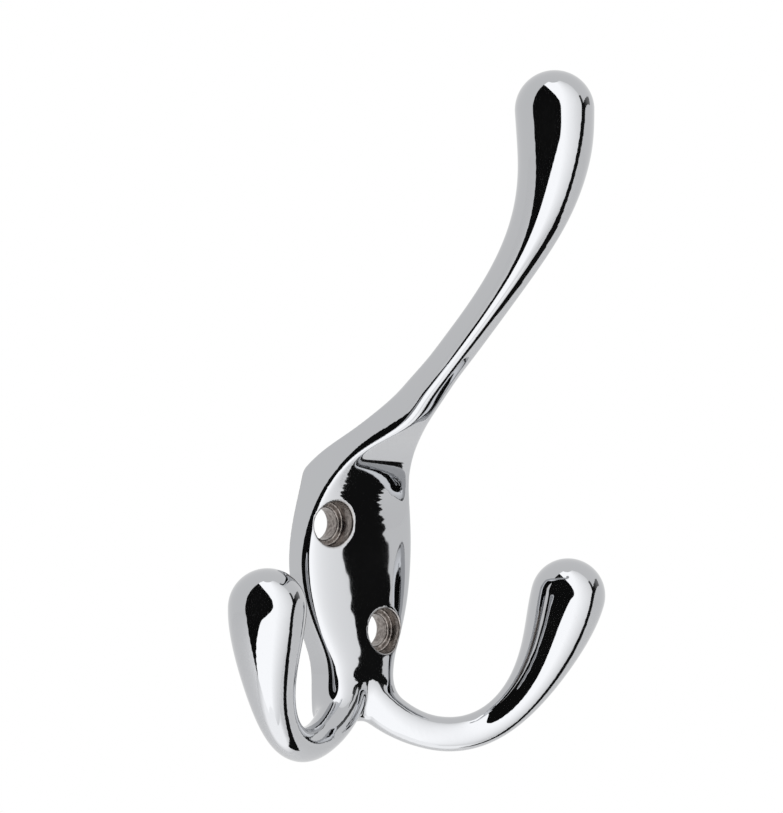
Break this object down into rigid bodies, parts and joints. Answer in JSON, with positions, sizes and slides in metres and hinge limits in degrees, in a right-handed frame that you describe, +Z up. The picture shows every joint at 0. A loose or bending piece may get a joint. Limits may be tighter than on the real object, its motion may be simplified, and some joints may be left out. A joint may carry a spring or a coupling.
{
  "type": "double robe hook",
  "caption": "Chromed wall hook with a flared back plate, a tall ball-ended hat prong and curved ball-ended robe prongs below, fixed by counterbored screw holes.",
  "frame": {"origin": "on the flat wall face, on the left-right middle of the hook, halfway in height between the screw holes", "axes": "+X to the right seen from the front, +Y into the wall, +Z up; the prongs reach out along -Y"},
  "size_m": [0.0786, 0.0599, 0.1129],
  "materials": {
    "chrome": "bright polished chrome plate over a zinc alloy casting"
  },
  "bodies": {
    "root": {"hook": "chrome"}
  },
  "joints": []
}
